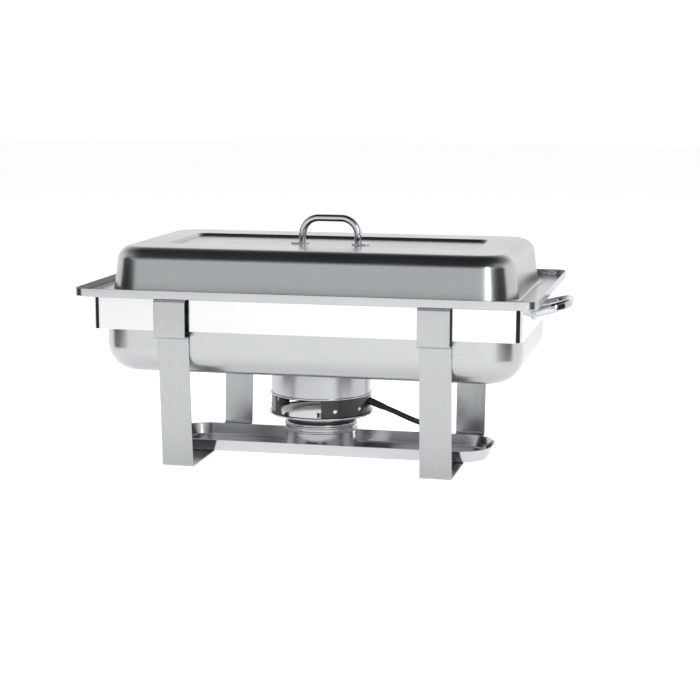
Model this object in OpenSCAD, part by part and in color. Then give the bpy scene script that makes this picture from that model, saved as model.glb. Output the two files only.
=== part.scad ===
// Electric buffet server. A water pan and a food pan stand one inside the other under a domed
// lid, on a stand made of a flat band and two bent strips. An electric heating unit stands on
// the tray between the legs, just under the water pan, with its mains lead coiled behind it.
// Millimetres. X is the long side, -Y the front, Z up from the table.

/* [Pans] */
// Length of the water pan over its rim
rim_l = 580; // [480:5:700]
// Width of the water pan over its rim
rim_w = 352; // [292:2:424]
// Height of the underside of the pan rim above the table
seat_z = 218; // [200:1:264]
// Depth of the water pan below its rim
water_pan_d = 99.5; // [82:0.5:105]
// Depth of the food pan below its rim
food_pan_d = 65; // [54:1:78]
// Sheet thickness of the pans and the lid
sheet_t = 1; // [0.8:0.1:1.5]
// Height of the upstand around the water pan rim
upstand_h = 10.5; // [8:0.5:14]
// Width of the flat water pan rim at the two ends
rim_flat_end = 21.5; // [18:0.5:26]
// Width of the flat water pan rim at the front and back
rim_flat_side = 24; // [20:0.5:28]
// Width of the flat food pan rim
food_flat = 28; // [24:0.5:34]
// Corner radius of the pan bodies, seen from above
pan_corner = 50; // [42:1:60]
// Bend radius between a pan's wall and its bottom
pan_bend = 34; // [28:1:40]
// Slope of a pan's wall from the vertical, degrees
pan_draft = 1.5; // [1:0.5:4]

/* [Lid] */
// Height of the lid's top over the food pan rim
lid_h = 57; // [48:1:70]
// Distance from the edge of the food pan rim to the lid's edge
lid_inset = 19.5; // [16:0.5:22]
// Width of the flat edge around the lid
lid_edge = 5; // [3:0.5:7]
// Slope of the lid's wall from the vertical, degrees
lid_draft = 8; // [5:0.5:12]
// Bend radius between the lid's wall and its top
lid_bend = 18; // [14:1:20]
// Distance from the edge of the lid's top to its sunk panel, at the ends
panel_end = 38; // [30:1:48]
// Distance from the edge of the lid's top to its sunk panel, front and back
panel_side = 50; // [40:1:58]
// Depth of the sunk panel
panel_d = 3.5; // [2:0.5:5]

/* [Stand] */
// Height of the band that carries the pans
band_h = 40; // [34:1:48]
// Thickness of the band
band_t = 1.2; // [1:0.1:2]
// Width of the leg strips
leg_w = 40; // [32:1:48]
// Thickness of the leg strips
leg_t = 2; // [1.5:0.25:3]
// Distance from the band's end to the middle of a leg strip
leg_inset = 105; // [90:1:125]
// Distance from the leg's top out to the band's face
leg_step = 6; // [5:0.5:10]
// Distance that each leg leans in from its top to its foot
leg_lean = 12; // [6:1:20]
// Distance from the band's face out to the middle of the bracket
bracket_out = 10; // [8:0.5:13]
// Length of the bracket below the band
bracket_drop = 8.5; // [6:0.5:12]

/* [Tray] */
// Height of the tray's wall
tray_h = 16; // [12:1:20]
// Distance from the middle of a leg strip to the tray's end
tray_over = 52; // [42:1:60]
// Slope of the tray's wall from the vertical, degrees
tray_flare = 20; // [15:1:30]
// Sheet thickness of the tray
tray_t = 1; // [0.8:0.1:1.5]

/* [Handles] */
// Distance between the two arms of a handle, middle to middle
grip_span = 74; // [61:1:89]
// Height of the lid handle
lid_grip_h = 38.5; // [34:0.5:46]
// Reach of an end handle
end_grip_reach = 45; // [40:1:54]
// Thickness of a handle's bar
grip_t = 9; // [8:0.5:10]
// Width of a handle's bar
grip_w = 12; // [10:0.5:13]
// Upward slope of the end handles, degrees
end_grip_tilt = 15; // [0:1:25]

/* [Heater] */
// Sideways place of the heating unit
heater_x = -12; // [-20:1:10]
// Diameter of the drum that holds the heating plate
drum_d = 130; // [108:1:156]
// Distance from the cage out to the edge of the dish under it
dish_out = 3.5; // [2.5:0.5:8]
// Height of the cage between the dish and the drum
cage_h = 25; // [20:1:30]
// Distance from the cage in to the wall of the can that the unit stands on
can_in = 18.5; // [15:0.5:24]
// Height of the can
can_h = 38.5; // [34:0.5:41]
// Diameter of the mains lead
cord_d = 7; // [6:0.5:8]

/* [Hidden] */
$fn = 96;

// Clearances between pieces that fit together
band_gap = 1.2;       // ends of the water pan body to the inside of the band
leg_gap = 1;          // side of the water pan body to the middle of the leg strip
tray_room = 2;        // can to the tray's wall
food_gap = 4.5;       // food pan rim to the upstand
food_collar = 2;      // strip of the food pan's rim that is drawn with its body
hole_gap = 0.2;       // screw or rivet to the side of its hole
heater_gap = 0.5;     // heating plate to the water pan
plate_gap = 0.2;      // heating plate to the drum wall

// Pans
corner_n = 10;
bend_n = 6;
rim_corner = 15;
rim_hx = rim_l / 2;
rim_hy = rim_w / 2;
body_hx = rim_hx - rim_flat_end;
body_hy = rim_hy - rim_flat_side;
pan_bottom_z = seat_z - water_pan_d;
food_z = seat_z + sheet_t;
food_hx = rim_hx - sheet_t - food_gap;
food_hy = rim_hy - sheet_t - food_gap;
food_corner = 12;
lid_z = food_z + sheet_t;
lid_hx = food_hx - lid_inset;
lid_hy = food_hy - lid_inset;
lid_corner = pan_corner + lid_edge;
lid_top_z = lid_z + lid_h;
panel_z = lid_top_z - panel_d;
panel_corner = 14;
panel_ramp = 2;

// Stand
band_hx = body_hx + band_gap + band_t;
leg_top_y = body_hy + leg_gap;
band_hy = leg_top_y + leg_step;
bracket_y = band_hy + bracket_out;
band_corner = 12;
band_top = seat_z - leg_t;
band_bottom = band_top - band_h;
leg_x = band_hx - leg_inset;
leg_bend = 4;
bend_step = 30;
shelf_z = band_bottom - bracket_drop;

// Tray, its width following the can of the heating unit
cage_r = drum_d / 2 + 0.5;
can_r = cage_r - can_in;
tray_hx = leg_x + tray_over;
tray_run = tray_h * tan(tray_flare);
tray_hy = can_r + tray_room + tray_run + tray_t;
tray_corner = 45;
tray_z = leg_t;
tray_top = tray_z + tray_h;
tray_floor = tray_z + tray_t;

// Handles
grip_round = 3.5;
grip_bend = 22;
foot_d = 17;
foot_t = 3;
arm_start = 1.9;
lid_foot_l = 13;
lid_foot_t = 2;
grip_hole_d = 8;
grip_hole_r = 2.7;
grip_screw_r = grip_hole_r - hole_gap;
end_grip_z = band_top - band_h / 2 + 1;
rivet_head_r = 5;
rivet_head_t = 0.7;
washer_r = 8;
washer_t = 1;
lid_screw_head_r = 4.6;
lid_screw_head_h = 3;

// Heating unit, from the tray upwards
can_t = 1;
beads_down = [4, 10.5];  // from the can's top to the middle of each bead
bead_r = 1.6;
can_top = tray_floor + can_h;
spacer_h = 4.5;
dish_z = can_top + spacer_h;
dish_r = cage_r + dish_out;
dish_edge_t = 0.8;
dish_t = 1;
dish_rise = 6;
ledge_z = dish_z + dish_t + dish_rise;
cage_t = 1.2;
cage_rim = 1.4;
cage_top = ledge_z + cage_h;
window_front = [-51, 13];    // degrees from the front, clockwise being negative
window_back = [150, 235];
rivet_at = [29, 62, 118, -70, -100];
rivet_z = ledge_z + 0.4 * cage_h;
rivet_r = 1.5;
rivet_cap_r = 2.8;
rivet_cap_t = 1.1;
rivet_gap = 0.3;
base_r = drum_d / 2 + 2.5;
base_t = 1.5;
base_top = cage_top + base_t;
drum_r = drum_d / 2;
drum_t = 1;
heater_top = pan_bottom_z - heater_gap;
plate_rim = 1.5;
plate_h = 6;
plate_z = heater_top - plate_h;
element_r = 42;
element_tube = 4;
element_z = plate_z - element_tube;
element_gap = 30;
pin_r = 2.5;
bracket_t = 2;
disc_h = 5;
disc_z = base_top + 11;
spacer_place = drum_r - 15;
spacer_r = 3;
foot_screw_r = 1.5;
foot_tab_t = 2;
earth_at = [heater_x - 26, 30];
earth_r = 2;
earth_nut_r = 3.9;
column_r = 3;
column_head_r = 6;
column_head_h = 3.2;
column_nut_r = 5.8;
column_nut_h = 5;
block = [28, 26, 13];
block_x = 8;
block_hole = [8, 5];    // first screw hole, from the block's corner
block_step = 8;
bushing_r = 7;
bushing_x = block_x + 11;
bushing_t = 2;
lead_r = 1.1;

// Mains lead: the route of its free stretches, from the strain relief to the coil and from
// the coil to the plug
cord_r = cord_d / 2;
cord_drop = 21;
gland_l = 22;
gland_r = cord_r + 1.3;
gland_flange_r = cord_r + 3;
gland_flange_t = 1.8;
gland_room = 1;
gland_whole = gland_l + cage_t + gland_flange_r * tan(cord_drop) + gland_room + gland_flange_t;
lift = 1.2;
coil_x = -40;
coil_y = 118;
coil_mid = 35.5;
coil_h = 3 * cord_d;
tie_w = 10;
cord_route = [[74, 0, 60.5], [86, 0, 56], [98, 0, 51], [110, 1, 46], [120, 4, 42], [129, 10, 38.5],
    [135, 19, 35], [138, 30, 32], [138, 41, 29], [135, 52, 25.5], [129, 61, 20.5], [122, 68, 14.5],
    [114, 73, 9], [105, 77, 5.5], [94, 79, 4], [80, 79, 3.6], [66, 79, 3.6], [52, 79, 3.6],
    [38, 79, 3.8], [28, 80, 4], [18, 84, 4.2], [10, 90, 4.4], [4, 98, 4.6], [0, 108, 4.7],
    [-1, 118, 4.7]];
tail_route = [[-1, 118, 18.7], [-1, 128, 18.2], [-1, 138, 15.5], [-1.5, 148, 12], [-3, 158, 8.5],
    [-6, 167, 6.5], [-11, 176, 6], [-18, 184, 7], [-27, 190, 9], [-38, 193, 11]];
gland_z = cord_route[0][2] + (cord_route[0][0] - heater_x - cage_r) * tan(cord_drop);
plug_l = 24;
plug_w = 26;
plug_h = 22;
plug_tail = 14;
blade = [17, 1.5, 6.3];
blade_gap = 12.7;
earth_pin_r = 2.4;
earth_pin_down = 5;

// Half sizes, corner radius and height of one level of a pressed shell, as its points
function level(hx, hy, r, z) = [for (q = [0:3], i = [0:corner_n])
    let (a = 90 * q + 90 * i / corner_n, sx = q == 0 || q == 3 ? 1 : -1, sy = q < 2 ? 1 : -1)
    [sx * (hx - r) + r * cos(a), sy * (hy - r) + r * sin(a), z]];

// Inset and height of a sloping wall with a round bottom, from the bottom up; deep is its
// depth, slope its angle, bend its radius and off the distance to the face that is wanted
function wall_line(deep, slope, bend, off) =
    let (c = bend / cos(slope) + (deep - bend) * tan(slope), r = bend - off)
    [for (i = [0:bend_n]) let (a = 90 - (90 - slope) * i / bend_n)
        [c - r * cos(a), bend - deep - r * sin(a)]];

// Closed shell through a list of levels, from the middle of one face to the middle of the other
module pressed(levels) {
    n = len(levels[0]);
    m = len(levels);
    polyhedron(points = [for (l = levels) each l],
        faces = [[for (i = [0:n - 1]) i],
            [for (i = [n - 1:-1:0]) (m - 1) * n + i],
            for (k = [0:m - 2], i = [0:n - 1])
                [k * n + i, (k + 1) * n + i, (k + 1) * n + (i + 1) % n, k * n + (i + 1) % n]],
        convexity = 6);
}

// Levels of a pan: outside of the body, rim underneath, rim edge, rim on top, inside
module pan(hx, hy, corner, deep, top_z, edge) {
    outside = wall_line(deep, pan_draft, pan_bend, 0);
    inside = wall_line(deep, pan_draft, pan_bend, sheet_t);
    pressed([
        for (p = outside) level(hx - p[0], hy - p[0], corner - p[0], top_z + p[1]),
        level(hx, hy, corner, top_z),
        each edge,
        level(hx - sheet_t, hy - sheet_t, corner - sheet_t, top_z + sheet_t),
        for (i = [bend_n:-1:0]) let (p = inside[i])
            level(hx - p[0], hy - p[0], corner - p[0], top_z + p[1])]);
}

module water_pan() {
    color("silver") pan(body_hx, body_hy, pan_corner, water_pan_d, seat_z, [
        level(rim_hx, rim_hy, rim_corner, seat_z),
        level(rim_hx, rim_hy, rim_corner, seat_z + sheet_t)]);
}

// Upright edge around the water pan's rim, of one piece with it on the real pan
module water_pan_edge() {
    color("silver") translate([0, 0, seat_z + sheet_t]) linear_extrude(upstand_h - sheet_t)
        difference() {
            round_rect(rim_l, rim_w, rim_corner);
            round_rect(rim_l - 2 * sheet_t, rim_w - 2 * sheet_t, rim_corner - sheet_t);
        }
}

module food_pan() {
    collar_hx = food_hx - food_flat + food_collar;
    collar_hy = food_hy - food_flat + food_collar;
    collar_corner = pan_corner - 2 + food_collar;
    color("gainsboro") pan(food_hx - food_flat, food_hy - food_flat, pan_corner - 2, food_pan_d,
        food_z, [
        level(collar_hx, collar_hy, collar_corner, food_z),
        level(collar_hx, collar_hy, collar_corner, food_z + sheet_t)]);
}

// The flat rim that the food pan hangs by, of one piece with it on the real pan
module food_pan_rim() {
    flat = food_flat - food_collar;
    color("gainsboro") translate([0, 0, food_z]) linear_extrude(sheet_t)
        difference() {
            round_rect(2 * food_hx, 2 * food_hy, food_corner);
            round_rect(2 * (food_hx - flat), 2 * (food_hy - flat), pan_corner - 2 + food_collar);
        }
}

// Levels of one face of the lid, off being its distance in from the outer face
function lid_wall(off) = let (line = wall_line(lid_h - off, lid_draft, lid_bend - off, 0),
    foot = lid_edge + off / cos(lid_draft))
    [for (i = [bend_n:-1:0]) let (p = line[i])
        level(lid_hx - foot - p[0], lid_hy - foot - p[0], lid_corner - foot - p[0],
            lid_z - p[1])];

// Levels of the lid's sunk panel, from its edge to its floor
function lid_panel(off) = let (e = lid_edge + wall_line(lid_h, lid_draft, lid_bend, 0)[0][0],
    px = lid_hx - e - panel_end, py = lid_hy - e - panel_side)
    [level(px, py, panel_corner, lid_top_z - off),
    level(px - panel_ramp, py - panel_ramp, panel_corner - panel_ramp, panel_z - off)];

module lid_shell() {
    in_wall = lid_wall(sheet_t);
    in_panel = lid_panel(sheet_t);
    color("silver") difference() {
        pressed([in_panel[1], in_panel[0],
            for (i = [bend_n:-1:0]) in_wall[i],
            level(lid_hx - lid_edge - sheet_t, lid_hy - lid_edge - sheet_t,
                lid_corner - lid_edge - sheet_t, lid_z),
            level(lid_hx, lid_hy, lid_corner, lid_z),
            level(lid_hx, lid_hy, lid_corner, lid_z + sheet_t),
            level(lid_hx - lid_edge, lid_hy - lid_edge, lid_corner - lid_edge, lid_z + sheet_t),
            each lid_wall(0),
            each lid_panel(0)]);
        for (s = [-1, 1])
            translate([s * grip_span / 2, 0, panel_z - 2 * sheet_t])
                cylinder(r = grip_hole_r, h = 3 * sheet_t);
    }
}

// Rectangle with round corners, centred
module round_rect(l, w, r) {
    square([l - 2 * r, w], center = true);
    square([l, w - 2 * r], center = true);
    for (sx = [-1, 1], sy = [-1, 1])
        translate([sx * (l / 2 - r), sy * (w / 2 - r)]) circle(r);
}

// Bar of a handle: two arms up Z, a bend on each and a straight top
module arch(reach) {
    arm = reach - grip_t / 2 - grip_bend;
    half = grip_span / 2;
    for (s = [-1, 1]) {
        translate([s * half, 0, 0]) linear_extrude(arm) round_rect(grip_t, grip_w, grip_round);
        translate([s * (half - grip_bend), 0, arm]) rotate([90, 0, 0])
            mirror([s < 0 ? 1 : 0, 0, 0]) rotate_extrude(angle = 90)
                translate([grip_bend, 0]) round_rect(grip_t, grip_w, grip_round);
    }
    translate([grip_bend - half, 0, arm + grip_bend]) rotate([90, 0, 90])
        linear_extrude(grip_span - 2 * grip_bend) round_rect(grip_w, grip_t, grip_round);
}

module lid_handle() {
    color("silver") difference() {
        translate([0, 0, panel_z]) union() {
            arch(lid_grip_h);
            for (s = [-1, 1]) translate([s * (grip_span / 2 + lid_foot_l / 4), 0, 0])
                linear_extrude(lid_foot_t)
                    round_rect(grip_t + lid_foot_l, grip_w + 4, grip_round);
        }
        for (s = [-1, 1]) translate([s * grip_span / 2, 0, panel_z - 1])
            cylinder(r = grip_hole_r, h = grip_hole_d + 1);
    }
}

module lid_handle_washers() {
    color("gray") for (s = [-1, 1])
        translate([s * grip_span / 2, 0, panel_z - sheet_t - washer_t]) difference() {
            cylinder(r = washer_r, h = washer_t);
            translate([0, 0, -1]) cylinder(r = grip_hole_r, h = washer_t + 2);
        }
}

module lid_handle_screws() {
    head_z = panel_z - sheet_t - washer_t - lid_screw_head_h;
    color("gray") for (s = [-1, 1]) translate([s * grip_span / 2, 0, head_z]) {
        cylinder(r = lid_screw_head_r, h = lid_screw_head_h);
        cylinder(r = grip_screw_r, h = panel_z + grip_hole_d - head_z);
    }
}

// Handle on the right end of the band, its arms sloping up from two round feet
module end_handle() {
    face = band_hx;
    difference() {
        union() {
            translate([face, 0, end_grip_z]) rotate([0, 90 - end_grip_tilt, 0])
                rotate([0, 0, 90]) translate([0, 0, arm_start])
                    arch(end_grip_reach / cos(end_grip_tilt) - arm_start);
            for (s = [-1, 1]) translate([face, s * grip_span / 2, end_grip_z])
                rotate([0, 90, 0]) cylinder(d = foot_d, h = foot_t);
        }
        for (s = [-1, 1]) translate([face - 1, s * grip_span / 2, end_grip_z])
            rotate([0, 90, 0]) cylinder(r = grip_hole_r, h = grip_hole_d + 1);
    }
}

module end_handle_right() { color("silver") end_handle(); }

module end_handle_left() { color("silver") mirror([1, 0, 0]) end_handle(); }

module end_handle_rivets() {
    inner = band_hx - band_t;
    color("gray") for (side = [0, 1], s = [-1, 1]) mirror([side, 0, 0])
        translate([inner, s * grip_span / 2, end_grip_z]) rotate([0, 90, 0]) {
            translate([0, 0, -rivet_head_t]) cylinder(r = rivet_head_r, h = rivet_head_t);
            cylinder(r = grip_screw_r, h = band_t + grip_hole_d);
        }
}

module frame_band() {
    color("whitesmoke") difference() {
        translate([0, 0, band_bottom]) linear_extrude(band_h) difference() {
            round_rect(2 * band_hx, 2 * band_hy, band_corner);
            round_rect(2 * (band_hx - band_t), 2 * (band_hy - band_t), band_corner - band_t);
        }
        for (sx = [-1, 1], sy = [-1, 1])
            translate([sx * (band_hx - band_t / 2), sy * grip_span / 2, end_grip_z])
                rotate([0, 90, 0]) cylinder(r = grip_hole_r, h = 3 * band_t, center = true);
    }
}

// A path with its inner corners rounded to radius r
function rounded(path, r) = [path[0],
    for (i = [1:len(path) - 2])
        let (u = path[i - 1] - path[i], v = path[i + 1] - path[i],
            un = u / norm(u), vn = v / norm(v), half = acos(un * vn) / 2,
            mid = (un + vn) / norm(un + vn), c = path[i] + mid * r / sin(half),
            n = ceil((180 - 2 * half) / bend_step),
            s = un * r / tan(half) + path[i] - c, a0 = atan2(s[1], s[0]),
            turn = (un[0] * vn[1] - un[1] * vn[0] > 0 ? -1 : 1) * (180 - 2 * half))
        for (k = [0:n]) c + r * [cos(a0 + turn * k / n), sin(a0 + turn * k / n)],
    path[len(path) - 1]];

// Points of a path moved sideways by d
function beside(path, d) = [for (i = [0:len(path) - 1])
    let (u = path[min(i + 1, len(path) - 1)] - path[i],
        v = path[i] - path[max(i - 1, 0)],
        un = norm(u) > 0 ? u / norm(u) : v / norm(v), vn = norm(v) > 0 ? v / norm(v) : un,
        m = (un + vn) / norm(un + vn))
    path[i] + d / (m * un) * [-m[1], m[0]]];

// One strip bent into a front leg, a floor strip and a rear leg, with a bracket at each top
module leg() {
    mid = leg_t / 2;
    side = [[bracket_y, band_top + mid], [bracket_y, shelf_z + mid],
        [leg_top_y, shelf_z + mid], [leg_top_y - leg_lean, mid]];
    path = rounded([[-(band_hy - band_t), band_top + mid],
        for (p = side) [-p[0], p[1]],
        for (i = [3:-1:0]) side[i],
        [band_hy - band_t, band_top + mid]], leg_bend);
    line = concat(beside(path, mid), [for (i = [len(path) - 1:-1:0]) beside(path, -mid)[i]]);
    translate([-leg_w / 2, 0, 0]) rotate([90, 0, 90]) linear_extrude(leg_w) polygon(line);
}

module leg_left() { color("silver") translate([-leg_x, 0, 0]) leg(); }

module leg_right() { color("silver") translate([leg_x, 0, 0]) leg(); }

module burner_tray() {
    in = tray_run + tray_t;
    color("lightgray") pressed([
        level(tray_hx - tray_run, tray_hy - tray_run, tray_corner - tray_run, tray_z),
        level(tray_hx, tray_hy, tray_corner, tray_top),
        level(tray_hx - tray_t, tray_hy - tray_t, tray_corner - tray_t, tray_top),
        level(tray_hx - in, tray_hy - in, tray_corner - in, tray_floor)]);
}

// Places its children on the axis of the heating unit at a height
module on_unit(z) { translate([heater_x, 0, z]) children(); }

// Inverted can with two beads near its top
module heater_can() {
    color("darkgray") on_unit(tray_floor) rotate_extrude() difference() {
        union() {
            translate([column_r + hole_gap, 0]) square([can_r - column_r - hole_gap, can_h]);
            for (z = beads_down) translate([can_r - 0.6, can_h - z]) circle(bead_r, $fn = 24);
        }
        translate([0, -1]) square([can_r - can_t, can_h - can_t + 1]);
    }
}

module can_spacer() {
    color("black") on_unit(can_top) difference() {
        cylinder(r = can_r - 3, h = spacer_h);
        translate([0, 0, -1]) cylinder(r = column_r + hole_gap, h = spacer_h + 2);
    }
}

// Shallow dish: flat floor, sloping wall, flat ledge and a small upturned edge
module heater_dish() {
    floor_r = can_r + 3;
    ledge_r = cage_r - 6;
    color("lightgray") on_unit(dish_z) rotate_extrude() polygon([
        [column_r + hole_gap, 0], [floor_r, 0], [ledge_r, dish_rise], [dish_r, dish_rise],
        [dish_r, dish_rise + 2 * dish_t], [dish_r - dish_edge_t, dish_rise + 2 * dish_t],
        [dish_r - dish_edge_t, dish_rise + dish_t], [ledge_r - 0.3, dish_rise + dish_t],
        [floor_r - 0.3, dish_t], [column_r + hole_gap, dish_t]]);
}

module column_bolt() {
    down = dish_t + spacer_h + can_t + column_nut_h + 2;
    color("silver") on_unit(dish_z + dish_t) {
        cylinder(r = column_head_r, h = column_head_h);
        translate([0, 0, -down]) cylinder(r = column_r, h = down);
    }
}

module column_nut() {
    color("silver") on_unit(can_top - can_t - column_nut_h) difference() {
        cylinder(r = column_nut_r, h = column_nut_h, $fn = 6);
        translate([0, 0, -1]) cylinder(r = column_r + hole_gap, h = column_nut_h + 2);
    }
}

// Sector of a ring between two angles, turned clockwise from the front
module sector(angles, r, h) {
    span = angles[1] - angles[0];
    rotate([0, 0, angles[0] - 90]) rotate_extrude(angle = span) square([r, h]);
}

module heater_cage() {
    color("black") difference() {
        on_unit(ledge_z) difference() {
            cylinder(r = cage_r, h = cage_h);
            translate([0, 0, -1]) cylinder(r = cage_r - cage_t, h = cage_h + 2);
            for (w = [window_front, window_back])
                translate([0, 0, cage_rim]) sector(w, cage_r + 1, cage_h - 2 * cage_rim);
            for (a = rivet_at) rotate([0, 0, a - 90]) translate([cage_r, 0, rivet_z - ledge_z])
                rotate([0, 90, 0])
                    cylinder(r = rivet_r + hole_gap, h = 4 * cage_t, center = true);
        }
        translate([heater_x + cage_r, 0, gland_z]) rotate([0, 90 + cord_drop, 0])
            cylinder(r = gland_r, h = 10, center = true);
    }
}

module cage_rivets() {
    back = cage_t + rivet_gap + rivet_cap_t;
    color("white") on_unit(rivet_z) for (a = rivet_at)
        rotate([0, 0, a - 90]) translate([cage_r, 0, 0]) rotate([0, 90, 0]) {
            cylinder(r1 = rivet_cap_r, r2 = rivet_cap_r - 1, h = rivet_cap_t);
            translate([0, 0, -back]) cylinder(r = rivet_r, h = back);
            translate([0, 0, -back]) cylinder(r = rivet_cap_r - 0.2, h = rivet_cap_t);
        }
}

// Base plate of the drum, with holes for the leads, the earth screw and its own screws
module drum_base() {
    color("gainsboro") difference() {
        on_unit(cage_top) cylinder(r = base_r, h = base_t);
        translate([bushing_x, 0, cage_top - 1]) cylinder(r = bushing_r - 1.5, h = base_t + 2);
        translate([earth_at[0], earth_at[1], cage_top - 1])
            cylinder(r = earth_r + hole_gap, h = base_t + 2);
        on_unit(cage_top - 1) foot_screw_places()
            cylinder(r = foot_screw_r + hole_gap, h = base_t + 2);
    }
}

module foot_screw_places() {
    for (a = [45:90:315]) rotate([0, 0, a]) translate([drum_r - 9, 0, 0]) children();
}

// Tube of sheet metal with tabs inside its foot for the screws from below
module drum_shell() {
    h = heater_top - plate_rim - base_top;
    color("lightgray") on_unit(base_top) difference() {
        union() {
            difference() {
                cylinder(r = drum_r, h = h);
                translate([0, 0, -1]) cylinder(r = drum_r - drum_t, h = h + 2);
            }
            foot_screw_places() translate([-4, -5, 0]) cube([12, 10, foot_tab_t]);
        }
        translate([0, 0, -1]) foot_screw_places()
            cylinder(r = foot_screw_r + hole_gap, h = foot_tab_t + 2);
    }
}

module drum_foot_screws() {
    color("gray") on_unit(cage_top) foot_screw_places() {
        translate([0, 0, -1.6]) cylinder(r = 2.8, h = 1.6);
        cylinder(r = foot_screw_r, h = base_t + foot_tab_t + 2);
    }
}

module hot_plate() {
    color("silver") on_unit(plate_z) difference() {
        union() {
            cylinder(r = drum_r - drum_t - plate_gap, h = plate_h);
            translate([0, 0, plate_h - plate_rim]) cylinder(r = drum_r, h = plate_rim);
        }
        translate([0, 0, -1]) cylinder(r = pin_r + hole_gap, h = 5);
    }
}

// Tubular element: an open ring with a sleeve and a connection pin down from each end
module heating_element() {
    pin_h = element_z - base_top - 4;
    color("dimgray") on_unit(element_z) rotate([0, 0, element_gap / 2]) {
        rotate_extrude(angle = 360 - element_gap) translate([element_r, 0])
            circle(element_tube, $fn = 32);
        for (a = [0, -element_gap]) rotate([0, 0, a]) translate([element_r, 0, 0]) {
            translate([0, 0, -12]) cylinder(r = element_tube + 0.5, h = 12 + element_tube);
            translate([0, 0, -pin_h]) cylinder(r = pin_r - 0.5, h = pin_h);
        }
    }
}

module element_bracket() {
    z = element_z - element_tube - bracket_t;
    color("silver") on_unit(z) difference() {
        translate([-6, -element_r - 6, 0]) cube([12, 2 * element_r + 12, bracket_t]);
        translate([0, 0, -1]) cylinder(r = pin_r + hole_gap, h = bracket_t + 2);
    }
}

module element_screw() {
    z = element_z - element_tube - bracket_t;
    color("gray") on_unit(z) {
        translate([0, 0, -2.5]) cylinder(r = 4.5, h = 2.5);
        cylinder(r = pin_r, h = plate_z + 3 - z);
    }
}

module insulation_disc() {
    color("ivory") on_unit(disc_z) difference() {
        cylinder(r = drum_r - drum_t - 1.5, h = disc_h);
        for (a = [element_gap / 2, -element_gap / 2]) rotate([0, 0, a])
            translate([element_r, 0, -1]) cylinder(r = element_tube + 1, h = disc_h + 2);
        translate([-22, 14, -1]) cylinder(r = 4, h = disc_h + 2);
        foot_screw_places() translate([0, 0, -1]) cylinder(r = 2.2, h = disc_h + 2);
    }
}

module disc_spacers() {
    color("silver") on_unit(base_top) for (a = [0, 120, 240]) rotate([0, 0, a])
        translate([spacer_place, 0, 0]) cylinder(r = spacer_r, h = disc_z - base_top);
}

// Bimetal disc held against the heating plate, with two flat terminals below
module thermostat() {
    color("dimgray") on_unit(plate_z - 9) translate([-20, 20, 0]) {
        cylinder(r = 9, h = 9);
        for (s = [-1, 1]) translate([s * 4 - 0.4, -2.4, -4]) cube([0.8, 4.8, 4]);
    }
}

module thermal_fuse() {
    color("white") on_unit(plate_z - 2.5) translate([-26, -20, 0]) rotate([0, 90, 0]) {
        cylinder(r = 2.5, h = 14);
        translate([0, 0, -6]) cylinder(r = 0.6, h = 26);
    }
}

module terminal_block() {
    color("ivory") translate([block_x, -block[1] / 2, cage_top - block[2]]) difference() {
        cube(block);
        for (i = [0:2]) translate([block_hole[0], block_hole[1] + block_step * i, -1])
            cylinder(r = 1.9, h = 8);
    }
}

module terminal_screws() {
    color("goldenrod") for (i = [0:2])
        translate([block_x + block_hole[0], block_hole[1] + block_step * i - block[1] / 2,
            cage_top - block[2]]) {
            translate([0, 0, -1.4]) cylinder(r = 2.8, h = 1.4);
            cylinder(r = 1.6, h = 6.5);
        }
}

module earth_screw() {
    color("goldenrod") translate([earth_at[0], earth_at[1], cage_top]) {
        translate([0, 0, -2]) cylinder(r = 3.6, h = 2);
        cylinder(r = earth_r, h = base_t + 7);
        translate([0, 0, base_t]) cylinder(r = earth_nut_r, h = 3.2);
    }
}

module lead_bushing() {
    color("black") translate([bushing_x, 0, base_top]) difference() {
        union() {
            cylinder(r = bushing_r, h = bushing_t);
            translate([0, 0, -base_t]) cylinder(r = bushing_r - 1.7, h = base_t);
        }
        translate([0, 0, -base_t - 1]) cylinder(r = bushing_r - 2.6, h = base_t + 4);
    }
}

// Tube swept along points that never run straight up
module tube(points, r, sides) {
    n = len(points);
    rings = [for (i = [0:n - 1])
        let (t = points[min(i + 1, n - 1)] - points[max(i - 1, 0)], d = t / norm(t),
            s = cross(d, [0, 0, 1]), w = s / norm(s), u = cross(w, d))
        for (k = [0:sides - 1]) points[i] + r * (cos(360 * k / sides) * u
            + sin(360 * k / sides) * w)];
    polyhedron(points = rings, faces = [[for (k = [0:sides - 1]) k],
        [for (k = [sides - 1:-1:0]) (n - 1) * sides + k],
        for (i = [0:n - 2], k = [0:sides - 1])
            [i * sides + k, (i + 1) * sides + k, (i + 1) * sides + (k + 1) % sides,
                i * sides + (k + 1) % sides]], convexity = 6);
}

// Live and neutral leads to the element pins, and the earth lead
module internal_leads() {
    z0 = cage_top + 0.2;
    z1 = base_top + bushing_t + 1.2;
    pin_x = heater_x + element_r * cos(element_gap / 2);
    pin_y = element_r * sin(element_gap / 2);
    color("firebrick") for (s = [-1, 1])
        tube([[bushing_x, 2.4 * s, z0], [bushing_x + 0.5, 2.5 * s, z1 - 2],
            [bushing_x + 2, 3 * s, z1 + 1], [pin_x - 4, pin_y * s * 0.7, z1 + 2],
            [pin_x - 2.6, pin_y * s * 0.85, z1 + 2]], lead_r, 8);
    color("green") tube([[bushing_x - 2.6, 0, z0], [bushing_x - 3, 0.5, z1 - 2],
        [bushing_x - 5, 1, z1 + 1], [heater_x + 2, 16, z1 + 2],
        [earth_at[0] + earth_nut_r + 4, earth_at[1], z1 - 1],
        [earth_at[0] + earth_nut_r + lead_r, earth_at[1], z1 - 1.6]], lead_r, 8);
}

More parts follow.
